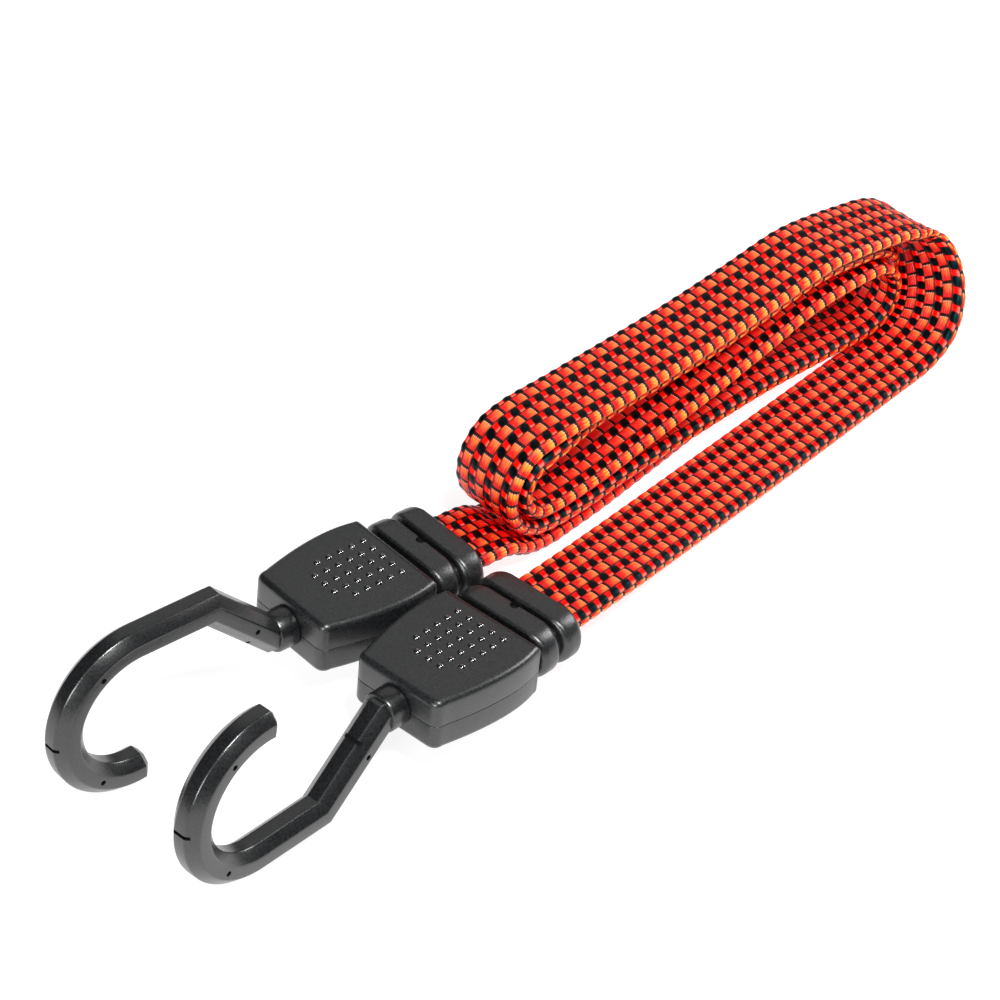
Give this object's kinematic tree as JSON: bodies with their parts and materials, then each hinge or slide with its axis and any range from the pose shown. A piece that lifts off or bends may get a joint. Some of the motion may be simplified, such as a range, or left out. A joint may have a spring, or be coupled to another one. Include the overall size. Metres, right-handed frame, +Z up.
{
  "type": "bungee cord",
  "caption": "Flat woven elastic strap folded on itself, with a moulded swivelling hook at each end, for tying down loads.",
  "frame": {"origin": "on the table under the middle of the two end fittings' box", "axes": "+X along the fittings from the hooks towards the folded strap, +Y across them away from the front fitting, +Z up"},
  "size_m": [0.2701, 0.062, 0.0449],
  "materials": {
    "housing_plastic": "moulded black nylon with a fine satin grain",
    "collar_plastic": "moulded black nylon with a fine satin grain",
    "hook_plastic": "black nylon moulded over the wire",
    "steel": "zinc-plated",
    "strap_sheath": "woven polypropylene, orange ribs with black and red between",
    "strap_rubber": "natural latex"
  },
  "bodies": {
    "strap": {"strap_loop_sheath": "strap_sheath", "strap_loop_rubber": "strap_rubber", "front_run_sheath": "strap_sheath", "front_run_rubber": "strap_rubber", "rear_run_sheath": "strap_sheath", "rear_run_rubber": "strap_rubber"},
    "front_end": {"front_upper_shell": "housing_plastic", "front_lower_shell": "housing_plastic", "front_neck_collar": "collar_plastic", "front_strap_crimp": "steel", "front_tail_sheath": "strap_sheath", "front_tail_rubber": "strap_rubber", "front_swivel_washer": "steel"},
    "front_hook": {"front_hook_jacket": "hook_plastic", "front_hook_wire": "steel"},
    "rear_end": {"rear_upper_shell": "housing_plastic", "rear_lower_shell": "housing_plastic", "rear_neck_collar": "collar_plastic", "rear_strap_crimp": "steel", "rear_tail_sheath": "strap_sheath", "rear_tail_rubber": "strap_rubber", "rear_swivel_washer": "steel"},
    "rear_hook": {"rear_hook_jacket": "hook_plastic", "rear_hook_wire": "steel"}
  },
  "joints": [
    {"name": "front_stretch", "type": "slide", "parent": "strap", "child": "front_end", "axis": [-0.9995, -0.0314, 0], "range_m": [0, 0.06], "stiffness_N_per_m": 800, "deforming": ["front_run_sheath", "front_run_rubber"]},
    {"name": "front_swivel", "type": "hinge", "parent": "front_end", "child": "front_hook", "pos_m": [0.00768, -0.01655, 0.01726], "axis": [-0.9921, -0.0312, 0.1219], "range_deg": [-180, 180]},
    {"name": "rear_stretch", "type": "slide", "parent": "strap", "child": "rear_end", "axis": [-0.9968, 0.0802, 0], "range_m": [0, 0.06], "stiffness_N_per_m": 800, "deforming": ["rear_run_sheath", "rear_run_rubber"]},
    {"name": "rear_swivel", "type": "hinge", "parent": "rear_end", "child": "rear_hook", "pos_m": [0.00848, 0.01745, 0.01741], "axis": [-0.9893, 0.0796, 0.1219], "range_deg": [-180, 180]}
  ]
}
